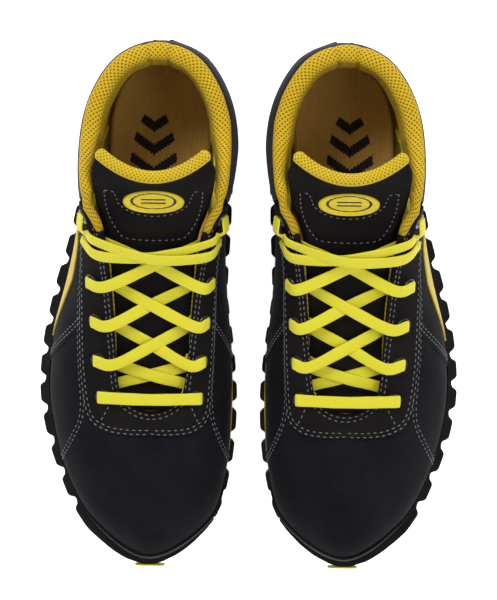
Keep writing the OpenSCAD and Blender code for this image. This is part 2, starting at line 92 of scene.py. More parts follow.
def centreX(y):
    return y * toeOut - stance / 2


def featherZ(y):
    ys, zs = zip(*upper["featherZ"])
    return np.interp(y, np.array(ys) * lengthScale, zs)


def folded(c):
    c = np.mod(c, lapColumns)
    return np.minimum(c, lapColumns - c)


def ringOf(rows, lateral, medial):
    ring = []
    for i in range(lapColumns):
        row = rows[i if i <= toe else lapColumns - i]
        y = row[0] * lengthScale
        x = -row[lateral] if i <= toe else row[medial]
        ring.append((centreX(y) + x, y, row[2] if lateral == medial else featherZ(y)))
    return np.array(ring, float)


def levelOut(way):
    out = np.stack([way[..., 1], -way[..., 0], 0 * way[..., 0]], -1)
    return out / np.linalg.norm(out, axis=-1, keepdims=True)


featherRing = ringOf(upper["feather"], 1, 2)
topRing = ringOf(upper["top"], 1, 1)
bulge = np.array([upper["bulge"][i if i <= toe else lapColumns - i] for i in range(lapColumns)])
ringOut = levelOut(np.roll(featherRing, -1, 0) - np.roll(featherRing, 1, 0))
lowRing = featherRing + bulge[:, :1] * ringOut + bulge[:, 1:2] * np.array([0, 0, 1])
highRing = topRing + bulge[:, 2:3] * ringOut + (featherRing - topRing) * bulge[:, 3:4] * np.array([1, 1, 0])
highRing = highRing + bulge[:, 4:5] * np.array([0, 0, 1])


# The smooth curve from b to c, where a comes before and d after them
def between(a, b, c, d, t):
    return 0.5 * (2 * b + (c - a) * t + (2 * a - 5 * b + 4 * c - d) * t**2
                  + (3 * b - a - 3 * c + d) * t**3)


def along(ring, c):
    i = np.floor(c).astype(int)
    return between(*(ring[(i + k) % lapColumns] for k in (-1, 0, 1, 2)), (c - i)[..., None])


def form(c, u):
    c, u = np.broadcast_arrays(np.asarray(c, float), np.asarray(u, float))
    w, v = u[..., None], 1 - u[..., None]
    return (v**3 * along(featherRing, c) + 3 * v * v * w * along(lowRing, c)
            + 3 * v * w * w * along(highRing, c) + w**3 * along(topRing, c))


def unit(v):
    return v / np.maximum(np.linalg.norm(v, axis=-1, keepdims=True), 1e-9)


def formUp(c, u):
    return unit(form(c, np.asarray(u) + 0.01) - form(c, np.asarray(u) - 0.01))


def formOut(c, u):
    c, u = np.asarray(c, float), np.asarray(u, float)
    return unit(np.cross(form(c + 0.05, u) - form(c - 0.05, u), formUp(c, u)))


def onForm(c, u, d=0.0):
    return form(c, u) + np.asarray(d, float)[..., None] * formOut(c, u)


def featherEdge(c, offset):
    way = along(featherRing, c + 0.05) - along(featherRing, c - 0.05)
    return along(featherRing, c) + np.asarray(offset, float)[..., None] * levelOut(way)


# Offsets of the layers from the form, as in a cut through the wall
def throat(c, u):
    return np.interp(folded(c), [4.05, 4.4], [0, 1]) * np.interp(u, [0.68, 0.76], [0, 1])


def collarPad(c, u):
    return (upper["pad"] * np.interp(folded(c), [3, 3.7], [1, 0])
            * np.interp(u, [0.527, 0.6, 0.651, 0.71, 0.776, 0.9, 0.955], [0, 0.36, 0.68, 0.9, 1, 0.94, 0.85]))


def liningIn(c, u):
    thin = throat(c, u)
    thick = upper["foam"] + upper["gap"] + collarPad(c, u)
    return -upper["leather"] - upper["gap"] - (1 - thin) * thick - 1.2 + 0.4 * thin


# Mesh helpers
def gridFaces(rows, columns, start=0, closedRows=False, closedColumns=False, flip=False):
    faces = []
    for i in range(rows if closedRows else rows - 1):
        for j in range(columns if closedColumns else columns - 1):
            k, m = (i + 1) % rows, (j + 1) % columns
            face = [i * columns + j, k * columns + j, k * columns + m, i * columns + m]
            faces.append([start + f for f in (face[::-1] if flip else face)])
    return faces


def makeMesh(name, points, faces, uvs=None):
    mesh = bpy.data.meshes.new(name)
    mesh.from_pydata((np.asarray(points) * metre).tolist(), [], faces)
    if uvs is not None:
        layer = mesh.uv_layers.new(name="cloth")
        index = np.empty(len(mesh.loops), int)
        mesh.loops.foreach_get("vertex_index", index)
        layer.data.foreach_set("uv", np.asarray(uvs, float)[index].ravel())
    mesh.polygons.foreach_set("use_smooth", [True] * len(mesh.polygons))
    mesh.update()
    mesh.calc_loop_triangles()
    corners, ends = np.empty(len(mesh.loop_triangles) * 3, int), np.empty(len(mesh.vertices) * 3)
    mesh.loop_triangles.foreach_get("vertices", corners)
    mesh.vertices.foreach_get("co", ends)
    a, b, c = np.moveaxis(ends.reshape(-1, 3)[corners.reshape(-1, 3)], 1, 0)
    if np.sum(np.cross(a, b) * c) < 0:      # inside out
        mesh.flip_normals()
    piece = bpy.data.objects.new(name, mesh)
    bpy.context.scene.collection.objects.link(piece)
    return piece


# Makes a piece for the right boot and its mirror image for the left one
def makePair(name, body, shape, material, nodes=(), finish=None):
    points, faces, uvs = shape
    made = []
    for side in ("right", "left"):
        mirrored = side == "left"
        corners = np.asarray(points) * ([-1, 1, 1] if mirrored else [1, 1, 1])
        turned = [face[::-1] for face in faces] if mirrored else faces
        piece = makeMesh(side + name, corners, turned, uvs)
        piece.data.materials.append(material)
        if finish:
            finish(piece)
        if nodes:
            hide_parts(*[f"{side}_{node}" for node in nodes])
        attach(piece, f"{side}_{body}")
        made.append(piece)
    return made


def joinShapes(shapes):
    points, faces, uvs, start = [], [], [], 0
    for p, f, t in shapes:
        p = np.asarray(p).reshape(-1, 3)
        points.append(p)
        faces += [[start + i for i in face] for face in f]
        uvs.append(np.zeros((len(p), 2)) if t is None else t)
        start += len(p)
    return np.concatenate(points), faces, np.concatenate(uvs)


# Fractions along a strip and how far its face drops there, so that both edges are rounded
def roundedSteps(count, length, radius):
    near = radius * np.array([0, 0.08, 0.3, 0.62, 1.0])
    drop = radius - np.sqrt(np.maximum(radius**2 - (radius - near) ** 2, 0))
    middle = np.linspace(radius / length, 1 - radius / length, count)[1:-1]
    steps = np.concatenate([near / length, middle, 1 - near[::-1] / length])
    return steps, np.concatenate([drop, 0 * middle, drop[::-1]])


# Faces of a closed sheet whose two sides are grids of the same size
def sheetFaces(rows, columns):
    under = rows * columns
    rim = ([i * columns for i in range(rows)] + [(rows - 1) * columns + j for j in range(1, columns)]
           + [i * columns + columns - 1 for i in range(rows - 2, -1, -1)]
           + [j for j in range(columns - 2, 0, -1)])
    return (gridFaces(rows, columns, flip=True) + gridFaces(rows, columns, under)
            + [[a, b, b + under, a + under] for a, b in zip(rim, rim[1:] + rim[:1])])


# A closed sheet on the form between columns c0 and c1 and heights low(c) and high(c)
def shell(c0, c1, columns, low, high, rows, inner, outer, radius=0.8):
    middle = (c0 + c1) / 2
    probe = np.linspace(c0, c1, 60)
    acrossLength = np.linalg.norm(np.diff(form(probe, 0.5), axis=0), axis=1).sum()
    upLength = max(4.0, np.linalg.norm(form(middle, high(middle)) - form(middle, low(middle))) * 1.05)
    s, dropS = roundedSteps(columns, acrossLength, radius)
    t, dropT = roundedSteps(rows, upLength, radius)
    c = (c0 + (c1 - c0) * s)[:, None] + 0 * t[None]
    lowU, highU = (np.array([float(f(x)) for x in c[:, 0]])[:, None] for f in (low, high))
    u = lowU + (highU - lowU) * t[None]
    drop = np.minimum(np.hypot(dropS[:, None], dropT[None]), radius)
    n, m = c.shape
    points = np.concatenate([onForm(c, u, outer(c, u) - drop).reshape(-1, 3),
                             onForm(c, u, inner(c, u) + 0 * c).reshape(-1, 3)])
    faces = gridFaces(n, m) + gridFaces(n, m, n * m, flip=True)
    for i in range(n - 1):
        for j in (0, m - 1):
            face = [i * m + j, (i + 1) * m + j, n * m + (i + 1) * m + j, n * m + i * m + j]
            faces.append(face[::-1] if j == 0 else face)
    for j in range(m - 1):
        for i in (0, n - 1):
            face = [i * m + j, i * m + j + 1, n * m + i * m + j + 1, n * m + i * m + j]
            faces.append(face if i == 0 else face[::-1])
    stretch = np.stack([c * acrossLength / abs(c1 - c0), u * 110], -1).reshape(-1, 2) * metre
    return points, faces, np.concatenate([stretch, stretch])


def smoothNoise(points, scale, seed):
    rng = np.random.default_rng(seed)
    value = np.zeros(points.shape[:-1])
    for octave in range(3):
        for _ in range(4):
            way = unit(rng.normal(size=3)) * 2 * math.pi * 2**octave / scale
            value += np.sin(points @ way + rng.uniform(0, 6.28)) * 0.5**octave / 4
    return value


def runAlong(path):
    return np.concatenate([[0], np.cumsum(np.linalg.norm(np.diff(path, axis=0), axis=1))])


# A flat or round tube through points, with its outward way, half width and half thickness at each
def ribbon(path, ups, widths, thicks, sides=16, flat=3.2, relief=None):
    way = unit(np.gradient(path, axis=0))
    across = unit(np.cross(ups, way))
    ups = unit(np.cross(way, across))
    angle = np.linspace(0, 2 * math.pi, sides, endpoint=False)
    x = np.sign(np.cos(angle)) * np.abs(np.cos(angle)) ** (2 / flat)
    z = np.sign(np.sin(angle)) * np.abs(np.sin(angle)) ** (2 / flat)
    run = runAlong(path)
    grow = 1 if relief is None else relief(run[:, None], angle[None])[..., None]
    points = path[:, None] + grow * (across[:, None] * x[None, :, None] * widths[:, None, None]
                                     + ups[:, None] * z[None, :, None] * thicks[:, None, None])
    n = len(path)
    faces = gridFaces(n, sides, closedColumns=True, flip=True)
    faces += [list(range(sides))[::-1], list(range((n - 1) * sides, n * sides))]
    uvs = np.stack(np.broadcast_arrays(run[:, None], (x * widths.max())[None]), -1).reshape(-1, 2) * metre
    return points.reshape(-1, 3), faces, uvs


# A smooth curve through the stops, which may carry more columns than x, y and z
def smoothPath(stops, perSpan=8):
    stops = np.asarray(stops, float)
    padded = np.concatenate([[2 * stops[0] - stops[1]], stops, [2 * stops[-1] - stops[-2]]])
    t = np.linspace(0, 1, perSpan, endpoint=False)[:, None]
    out = []
    for i in range(1, len(padded) - 2):
        out += list(between(*padded[i - 1:i + 3], t))
    return np.array(out + [stops[-1]])


def evenly(path, step):
    run = runAlong(path[:, :3])
    where = np.linspace(0, run[-1], max(2, int(round(run[-1] / step)) + 1))
    return np.stack([np.interp(where, run, path[:, k]) for k in range(path.shape[1])], -1)


def constant(value):
    return lambda c, u=None: value + 0 * np.asarray(c, float)


# Materials
def startMaterial(name, colour, roughness=0.7, **sockets):
    material = bpy.data.materials.new(name)
    material.use_nodes = True
    shader = material.node_tree.nodes["Principled BSDF"]
    shader.inputs["Base Color"].default_value = (*colour, 1)
    shader.inputs["Roughness"].default_value = roughness
    for socket, value in sockets.items():
        shader.inputs[socket.replace("_", " ")].default_value = value
    return material, material.node_tree, shader


def addNode(tree, kind, sockets=None, **settings):
    node = tree.nodes.new("ShaderNode" + kind)
    for key, value in settings.items():
        setattr(node, key, value)
    for key, value in (sockets or {}).items():
        if isinstance(value, bpy.types.NodeSocket):
            tree.links.new(value, node.inputs[key])
        else:
            node.inputs[key].default_value = value
    return node


def place(tree, kind="Object", scale=(1, 1, 1)):
    coordinates = addNode(tree, "TexCoord").outputs[kind]
    return addNode(tree, "Mapping", {"Vector": coordinates, "Scale": scale}).outputs["Vector"]


def noiseOf(tree, vector, scale, detail=4, roughness=0.6):
    return addNode(tree, "TexNoise", {"Vector": vector, "Scale": scale, "Detail": detail,
                                      "Roughness": roughness}).outputs["Fac"]


def rampOf(tree, value, stops):
    ramp = addNode(tree, "ValToRGB", {"Fac": value})
    ramp.color_ramp.elements[0].position, ramp.color_ramp.elements[1].position = stops[0][0], stops[-1][0]
    ramp.color_ramp.elements[0].color = (*stops[0][1], 1)
    ramp.color_ramp.elements[1].color = (*stops[-1][1], 1)
    for position, colour in stops[1:-1]:
        ramp.color_ramp.elements.new(position).color = (*colour, 1)
    return ramp.outputs["Color"]


def maths(tree, operation, a, b=0.0, c=0.0):
    return addNode(tree, "Math", {0: a, 1: b, 2: c}, operation=operation).outputs["Value"]


def waveOf(tree, value, pitch, kind="COSINE"):
    return maths(tree, kind, maths(tree, "MULTIPLY", value, 2 * math.pi / pitch))


def bumpOn(tree, shader, *layers):
    normal = None
    for height, distance, strength in layers:
        sockets = {"Height": height, "Distance": distance, "Strength": strength}
        if normal:
            sockets["Normal"] = normal
        normal = addNode(tree, "Bump", sockets).outputs["Normal"]
    tree.links.new(normal, shader.inputs["Normal"])


def nubuck(name, dark, light, nap=1.0):
    material, tree, shader = startMaterial(name, dark, 0.9, Sheen_Weight=0.01, Sheen_Roughness=0.4,
                                           Specular_IOR_Level=0.05)
    where = place(tree)
    cloud = noiseOf(tree, where, 38, 5, 0.62)
    brushed = noiseOf(tree, place(tree, scale=(420, 90, 90)), 1.0, 3)
    grain = noiseOf(tree, where, 1500, 3, 0.7)
    mixed = maths(tree, "ADD", maths(tree, "MULTIPLY", cloud, 0.6), maths(tree, "MULTIPLY", grain, 0.4))
    tree.links.new(rampOf(tree, mixed, [(0.35, dark), (0.68, light)]), shader.inputs["Base Color"])
    bumpOn(tree, shader, (cloud, 0.0012, 0.25), (brushed, 0.0002, 0.25 * nap), (grain, 0.00025, 0.5 * nap))
    return material


# Knitted mesh with rows of dimples, staggered as the woven relief of the mesh pieces is
def meshCloth(name, dark, light, pitch=2.6, deep=0.0006):
    material, tree, shader = startMaterial(name, light, 0.75, Sheen_Weight=0.03, Sheen_Roughness=0.5,
                                           Specular_IOR_Level=0.2)
    split = addNode(tree, "SeparateXYZ", {"Vector": place(tree, "UV")})
    cells = maths(tree, "MULTIPLY", waveOf(tree, split.outputs["X"], pitch * metre),
                  waveOf(tree, split.outputs["Y"], pitch * metre * 1.15))
    yarn = noiseOf(tree, place(tree, "UV"), 2600, 2)
    # The colour runs from light on the ridges to dark in the dimples: painted shade in the hollows, with the
    # yarn's random tone mixed in.
    middle = tuple(0.45 * a + 0.55 * b for a, b in zip(dark, light))
    colour = rampOf(tree, maths(tree, "MULTIPLY_ADD", yarn, 0.3, maths(tree, "SUBTRACT", cells, 0.1)),
                    [(0.3, light), (0.6, middle), (0.85, dark)])
    tree.links.new(colour, shader.inputs["Base Color"])
    height = rampOf(tree, cells, [(0.25, (1, 1, 1)), (0.8, (0, 0, 0))])
    bumpOn(tree, shader, (height, deep, 0.7), (yarn, 0.0003, 0.5))
    return material


def rubber(name, dark, light, roughness=0.62):
    material, tree, shader = startMaterial(name, dark, roughness, Specular_IOR_Level=0.12)
    where = place(tree)
    grain = noiseOf(tree, where, 1100, 3)
    dust = noiseOf(tree, where, 60, 5)
    tree.links.new(rampOf(tree, dust, [(0.35, dark), (0.75, light)]), shader.inputs["Base Color"])
    tree.links.new(maths(tree, "MULTIPLY_ADD", dust, 0.25, roughness - 0.12), shader.inputs["Roughness"])
    bumpOn(tree, shader, (grain, 0.0002, 0.35))
    return material


def laceCloth(name, shade, light):
    material, tree, shader = startMaterial(name, light, 0.68, Sheen_Weight=0.1, Sheen_Roughness=0.4)
    split = addNode(tree, "SeparateXYZ", {"Vector": place(tree, "UV")})
    run, side = split.outputs["X"], split.outputs["Y"]
    ribs = waveOf(tree, maths(tree, "ADD", run, maths(tree, "ABSOLUTE", side)), 0.0008, "SINE")
    rows = waveOf(tree, side, 0.0011, "COSINE")
    weave = maths(tree, "MULTIPLY_ADD", maths(tree, "MULTIPLY", ribs, rows), 0.5, 0.5)
    fibre = noiseOf(tree, place(tree, "UV", (1, 3, 1)), 2200, 3)
    mixed = maths(tree, "ADD", maths(tree, "MULTIPLY", weave, 0.7), maths(tree, "MULTIPLY", fibre, 0.3))
    tree.links.new(rampOf(tree, mixed, [(0.1, shade), (0.65, light)]), shader.inputs["Base Color"])
    bumpOn(tree, shader, (weave, 0.0003, 0.4), (fibre, 0.0003, 0.5))
    return material


def plain(name, dark, light, roughness=0.5, grain=900, **sockets):
    material, tree, shader = startMaterial(name, light, roughness, **sockets)
    where = place(tree)
    speck = noiseOf(tree, where, grain, 3)
    cloud = noiseOf(tree, where, 45, 4)
    mixed = maths(tree, "ADD", maths(tree, "MULTIPLY", speck, 0.6), maths(tree, "MULTIPLY", cloud, 0.4))
    tree.links.new(rampOf(tree, mixed, [(0.35, dark), (0.65, light)]), shader.inputs["Base Color"])
    bumpOn(tree, shader, (speck, 0.0002, 0.3))
    return material


blackNubuck = nubuck("blackNubuck", (0.0050, 0.0047, 0.0064), (0.0108, 0.0103, 0.0134))
facingLeather = nubuck("facingLeather", (0.0060, 0.0052, 0.0050), (0.0124, 0.0108, 0.0104), 0.8)
collarCloth = meshCloth("collarCloth", (0.006, 0.0056, 0.0075), (0.015, 0.014, 0.018), 0.9, 0.0003)
goldMesh = meshCloth("goldMesh", (0.17, 0.068, 0.003), (0.49, 0.325, 0.009))
bindingMesh = meshCloth("bindingMesh", (0.22, 0.12, 0.003), (0.51, 0.36, 0.012), 2.2, 0.0005)
laceYarn = laceCloth("laceYarn", (0.53, 0.47, 0.007), (0.68, 0.62, 0.015))
outsoleRubber = rubber("outsoleRubber", (0.006, 0.006, 0.007), (0.013, 0.013, 0.0155), 0.7)
bumperRubber = rubber("bumperRubber", (0.0032, 0.0032, 0.0044), (0.007, 0.0068, 0.009), 0.75)
yellowRubber = plain("yellowRubber", (0.58, 0.45, 0.006), (0.72, 0.56, 0.014), 0.5)
midsoleFoam = plain("midsoleFoam", (0.66, 0.40, 0.004), (0.82, 0.55, 0.012), 0.7, 1400)
stripeFilm = plain("stripeFilm", (0.40, 0.29, 0.018), (0.50, 0.37, 0.028), 0.62, 500, Specular_IOR_Level=0.3)
threadGrey = plain("threadGrey", (0.06, 0.06, 0.065), (0.17, 0.17, 0.175), 0.7, 2500)
eyeletEnamel = plain("eyeletEnamel", (0.010, 0.010, 0.011), (0.022, 0.022, 0.025), 0.35, 700,
                     Specular_IOR_Level=0.6)
agletWrap = plain("agletWrap", (0.75, 0.55, 0.01), (0.88, 0.70, 0.03), 0.2, 300)
footbedCloth = plain("footbedCloth", (0.62, 0.34, 0.075), (0.84, 0.52, 0.12), 0.85, 1700, Sheen_Weight=0.05)
printInk = plain("printInk", (0.010, 0.008, 0.007), (0.018, 0.015, 0.013), 0.7, 1200)
print("materials made")

# The laces. Each runs from one loose end inside the boot, through six rows of eyelets and
# back, to its other loose end, and both ends wear an aglet.
lace = {
    "width": 6.8,
    "thick": 1.4,
    "eyelets": [(7.75, 0.84), (7.05, 0.83), (6.35, 0.83), (5.65, 0.81), (4.97, 0.81), (4.5, 0.87)],
    "over": 4.1,             # height of a strand that lies on the facing
    "under": 4.9,            # and depth of one that passes under it
    "edge": 0.975,           # height on the form of the throat's edge
    "lifts": [(2.2, 0.2), (1.2, -0.8), (1.2, -0.8), (1.2, -0.8), (3.2, 1.2)],   # upper and lower strand
    "tail": [(4.15, 0.8), (3.95, 0.72), (3.75, 0.65), (3.5, 0.58), (3.2, 0.53), (2.9, 0.48), (2.7, 0.44)],
    "tailDepth": 1.7,        # how far the tucked ends lie below the lining
}
overD, underD = lace["over"], lace["under"]


def sideOf(c, lateral):
    return c if lateral else lapColumns - c


def stopAt(point, up, width=None, thick=None):
    return [*point, *up, width or lace["width"] / 2, thick or lace["thick"] / 2]


def eyeletAt(row, lateral):
    c, u = lace["eyelets"][row]
    c = sideOf(c, lateral)
    return form(c, u), formOut(c, u), formUp(c, u)


# Stops of a strand that comes up through an eyelet. It leaves towards outWay on the outside
# and came from inWay on the inside; turned says which of its faces ends up outward.
def upThrough(row, lateral, outWay, inWay, turned):
    p, n, _ = eyeletAt(row, lateral)
    outWay, inWay = (unit(w - n * (w @ n)) for w in (outWay, inWay))
    sign = -turned if outWay @ inWay > 0 else turned
    return sign, [stopAt(p + inWay * 5 - n * underD, sign * n, 2.9),
                  stopAt(p + inWay * 1.6 - n * (underD - 0.6), sign * unit(n + inWay), 2.0, 0.9),
                  stopAt(p + inWay * 0.3 - n * 1.6, sign * inWay, 1.9, 1.0),
                  stopAt(p - outWay * 1.0 + n * 1.6, -turned * outWay, 2.3, 1.0),
                  stopAt(p - outWay * 1.9 + n * (overD - 0.7), turned * unit(n - outWay), 3.2, 0.8),
                  stopAt(p - outWay * 0.2 + n * (overD + 0.35), turned * n, 3.4)]


# A stop on the throat's edge, at a share of the way from one row of eyelets to the next
def edgeStop(row, lateral, share, depth, sign):
    y0, y1 = (eyeletAt(k, lateral)[0][1] for k in (row, min(row + 1, 5)))
    columns = sideOf(np.linspace(9.6, 4.2, 60), lateral)
    c = float(np.interp(y0 + (y1 - y0) * share, form(columns, lace["edge"])[:, 1], columns))
    n = formOut(c, lace["edge"])
    return stopAt(form(c, lace["edge"]) + n * depth, sign * n)


# The level way across the throat, along the surface
def acrossWay(row, lateral):
    p, n, _ = eyeletAt(row, lateral)
    way = eyeletAt(row, not lateral)[0] - p
    return unit(way - n * (way @ n))


def rowUp(row):
    return unit(eyeletAt(row, True)[1] + eyeletAt(row, False)[1])


def halfLace(lateral, leftBoot):
    gapWay = acrossWay(0, lateral)
    sign, stops = upThrough(0, lateral, gapWay, gapWay, 1)
    stops = stops[::-1]
    for row in range(5):
        near = lateral == (row % 2 == 0)
        onTop = (near != leftBoot) == (row % 2 == 1)
        lift = lace["lifts"][row][0 if onTop else 1]
        last = row == 4
        a = edgeStop(row, near, -0.5 if last else 0.22 if row == 0 else -0.07,
                     -underD if row == 0 else overD - 0.5, sign)
        b = edgeStop(row, not near, 0.05 if last else 0.8, overD - 0.5 if last else -underD, sign)
        middle = (np.array(a[:3]) + b[:3]) / 2 + rowUp(row) * lift
        middle[1] -= 3.0 if last else 0
        stops += [a, stopAt(middle, sign * rowUp(row)), b]
        p, n, _ = eyeletAt(row + 1, not near)
        gapWay = acrossWay(row + 1, not near)
        if last:
            beside = unit(np.array([0, -1.0, -0.3]) - 0.14 * gapWay)
            c = sideOf(4.86, not near)
            stops.append(stopAt(onForm(c, 0.875, overD + 0.3), sign * formOut(c, 0.875)))
            stops.append(stopAt(p + beside * 6 + n * (overD + 0.2), sign * n))
            c, u = lace["tail"][0]
            inWay = unit(form(sideOf(c, not near), u) - p)
            sign, hole = upThrough(5, not near, beside, inWay, sign)
            stops += hole[::-1]
            continue
        outWay = unit(gapWay * 0.25 + np.array([0, -1.0, -0.45])) if row == 3 else gapWay
        turned = -sign if outWay @ gapWay > 0 else sign
        stops += upThrough(row + 1, not near, outWay, gapWay, turned)[1]
        sign = turned
    for c, u in lace["tail"][1:]:
        c = sideOf(c, not near)
        n = formOut(c, u)
        stops.append(stopAt(form(c, u) + n * (liningIn(c, u) - lace["tailDepth"]), sign * n, 2.6))
    return stops


def laceRoute(leftBoot):
    ends = [eyeletAt(0, lateral) for lateral in (True, False)]
    bar = (ends[0][0] + ends[1][0]) / 2 + rowUp(0) * (overD + 2.8)
    return halfLace(True, leftBoot)[::-1] + [stopAt(bar, rowUp(0))] + halfLace(False, leftBoot)


for side in ("right", "left"):
    stops = np.array(laceRoute(side == "left"))
    path = evenly(smoothPath(stops, 10), 1.1)
    wobble = 0.06 * np.sin(np.arange(len(path)) * 0.37) + 0.05 * np.sin(np.arange(len(path)) * 0.113 + 1)
    mirror = np.array([-1, 1, 1] if side == "left" else [1, 1, 1])
    points, faces, uvs = ribbon(path[:, :3], unit(path[:, 3:6]), path[:, 6] + wobble, path[:, 7], 20, 3.6)
    if side == "left":
        faces = [face[::-1] for face in faces]
    piece = makeMesh(side + "Lace", points * mirror, faces, uvs)
    piece.data.materials.append(laceYarn)
    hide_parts(f"{side}_lace")
    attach(piece, f"{side}_boot")

# The pieces of the upper. Each closed sheet has rounded edges, and its face stands a little
# above or below its neighbour's where one laps over the other.
def uneven(height, depth=0.22, scale=34, seed=3):
    return lambda c, u: height + depth * smoothNoise(form(c, u), scale, seed)


quarterTop = lambda c: np.interp(folded(c), [3.9, 4.1, 4.95, 5.1], [0.785, 0.9, 0.9, 1])
inside = constant(-upper["leather"])
panels = [
    # name, columns, top edge on the form, points along and up, height of its face
    ("Vamp", (7.7, 12.3), constant(1), (170, 80), 0.45),
    ("LateralSidePanel", (6.2, 7.72), constant(1), (60, 80), 0.0),
    ("MedialSidePanel", (12.28, 13.8), constant(1), (60, 80), 0.0),
    ("LateralQuarter", (2.2, 6.22), quarterTop, (150, 90), 0.45),
    ("MedialQuarter", (13.78, 17.8), quarterTop, (150, 90), 0.45),
    ("HeelPanel", (-2.22, 2.22), constant(0.785), (110, 70), 0.8),
]
for number, (name, (c0, c1), top, (across, up), height) in enumerate(panels):
    node = "".join("_" + k.lower() if k.isupper() else k for k in name)[1:]
    face = uneven(height, seed=number)
    makePair(name, "boot", shell(c0, c1, across, constant(0), top, up, inside, face, 0.7),
             blackNubuck, [node])
print("panels made")

# The collar: a padded textile band outside, and the mesh lining that rolls over the edge
collar = {"low": 0.775, "high": 0.935, "ends": 4.1, "puff": 1.2, "medialPuff": 2.6,
          "rollU": 0.955, "rollHalf": 4.0, "rollEnd": 5.05, "dimple": 2.6, "dimpleDepth": 0.34,
          "pleats": (-0.34, 0.34), "thick": 0.9}


def bandFace(c, u):
    side = np.interp(np.mod(c + 10, lapColumns) - 10, [-4.1, -3.2, -1.2, 0, 4.1], [0.2, 1, 1, 0.3, 0])
    hump = np.sin(np.pi * np.clip((u - collar["low"]) / (collar["high"] - collar["low"]), 0, 1)) ** 0.6
    return 0.2 + (collar["puff"] + collar["medialPuff"] * side) * hump


collarBand = shell(-collar["ends"], collar["ends"], 260, constant(collar["low"]), constant(collar["high"]),
                   34, inside, bandFace, 0.9)
for piece in makePair("CollarPanel", "boot", collarBand, collarCloth, ["collar_panel"]):
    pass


def dimples(run, rise):
    pitch = collar["dimple"]
    wave = np.cos(2 * np.pi * run / pitch) * np.cos(2 * np.pi * rise / (1.15 * pitch))
    return -collar["dimpleDepth"] * np.clip(wave * 1.5 - 0.25, 0, 1)


def collarLining():
    columns, wallRows, rollRows = 560, 110, 46
    c = np.linspace(-collar["rollEnd"], collar["rollEnd"], columns)[:, None]
    u = np.linspace(0.05, collar["rollU"], wallRows)[None]
    wall = onForm(c, u, liningIn(c, u))
    end = np.clip((collar["rollEnd"] - np.abs(c)) / 0.35, 0, 1)
    tip = 0.35 + 0.65 * np.sqrt(end * (2 - end))
    depth = liningIn(c, collar["rollU"])
    half = np.maximum(-depth / 2, 2.45)
    angle = np.radians(np.linspace(180, -75, rollRows))[None]
    middle = onForm(c, collar["rollU"], depth + half)
    n, up = formOut(c, collar["rollU"]), formUp(c, collar["rollU"])
    outPart = (half * np.cos(angle))[..., None] * n * (0.5 + 0.5 * tip[..., None])
    roll = middle + outPart + (collar["rollHalf"] * tip * np.sin(angle))[..., None] * up
    points = np.concatenate([wall, roll[:, 1:]], 1)
    rise = np.stack([runAlong(column) for column in points])
    run = runAlong(points[:, wallRows + rollRows // 3])[:, None]
    out = unit(np.cross(np.gradient(points, axis=1), np.gradient(points, axis=0)))
    relief = dimples(run - run.mean(), rise) + 0.22 * smoothNoise(points, 24, 8)
    for pleat in collar["pleats"]:          # on both sides of the back seam
        fold = np.interp(rise, [60, 84, 104, 112], [0, 1.0, 1.3, 0])
        relief = relief - fold * np.exp(-(((c - pleat) * 14) / 1.1) ** 2)
    points = points + relief[..., None] * out
    both = np.concatenate([points.reshape(-1, 3), (points - collar["thick"] * out).reshape(-1, 3)])
    flat = np.stack(np.broadcast_arrays(run - run.mean(), rise), -1).reshape(-1, 2) * metre
    return both, sheetFaces(*points.shape[:2]), np.concatenate([flat, flat])


for piece in makePair("CollarLining", "boot", collarLining(), goldMesh,
                      ["lining", "collar_roll", "collar_foam"]):
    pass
frontTop = lambda c: np.interp(folded(c), [5, 5.12, 5.3, 7.8, 8.3], [0.92, 0.94, 1.007, 1.007, 0.955])
frontLining = shell(5.0, 15.0, 260, constant(0.05), frontTop, 70, liningIn,
                    lambda c, u: liningIn(c, u) + 0.8, 0.35)
makePair("FrontLining", "boot", frontLining, goldMesh, ())
print("collar made")

# The facing that carries the eyelets, and the trim
facing = {"ends": 4.15, "face": 2.05,
          "low": [(4.15, 0.79), (4.3, 0.73), (4.6, 0.68), (5, 0.66), (7.6, 0.655), (7.95, 0.68), (8.3, 0.74),
                  (8.6, 0.79), (9, 0.84), (9.5, 0.88), (10, 0.9)]}
facingLow = lambda c: np.interp(folded(c), *zip(*facing["low"]))
facingTop = lambda c: np.interp(folded(c), [4.15, 4.3, 4.75, 4.95, 5.15], [0.875, 0.915, 0.93, 0.95, 0.997])
facingSheet = shell(facing["ends"], lapColumns - facing["ends"], 340, facingLow, facingTop, 60,
                    constant(0.1), uneven(facing["face"], 0.12, 26, 9), 0.8)
makePair("Facing", "boot", facingSheet, facingLeather, ["facing"])
stripeLow = lambda c: np.interp(c, [4.15, 5, 5.8], [0.55, 0.35, 0.12])
stripeHigh = lambda c: np.interp(c, [4.15, 4.7, 5.2, 5.8], [0.57, 0.57, 0.5, 0.16])
stripeSheet = shell(4.15, 5.8, 70, stripeLow, stripeHigh, 30, constant(0.3), constant(1.35), 0.5)
makePair("SideStripe", "boot", stripeSheet, stripeFilm, ["side_stripe"])
bumperHigh = lambda c: np.interp(c, [8.3, 8.6, 9.1, 9.6, 10.4, 10.9, 11.4, 11.7],
                                 [0.05, 0.09, 0.145, 0.16, 0.16, 0.145, 0.09, 0.05])
bumperSheet = shell(8.3, 11.7, 120, constant(0.03), bumperHigh, 16, constant(0.4), constant(1.9), 0.8)
makePair("ToeBumper", "boot", bumperSheet, bumperRubber, ["toe_bumper"])

# The toe tab: rings from its back to its front, as depth and inset, squared off by the powers
tab = {"rings": [(1, 0), (0.2, 0), (-0.5, 0.05), (-0.78, 0.25), (-0.9, 0.7), (-0.93, 1.4), (-0.97, 2.6),
                 (-1, 3.6)], "columns": 60, "powers": (0.35, 0.45)}
tabMiddle, tabHalf = (tabLow + tabHigh) / 2, (tabHigh - tabLow) / 2


def squared(value, power):
    return math.copysign(abs(value) ** power, value)


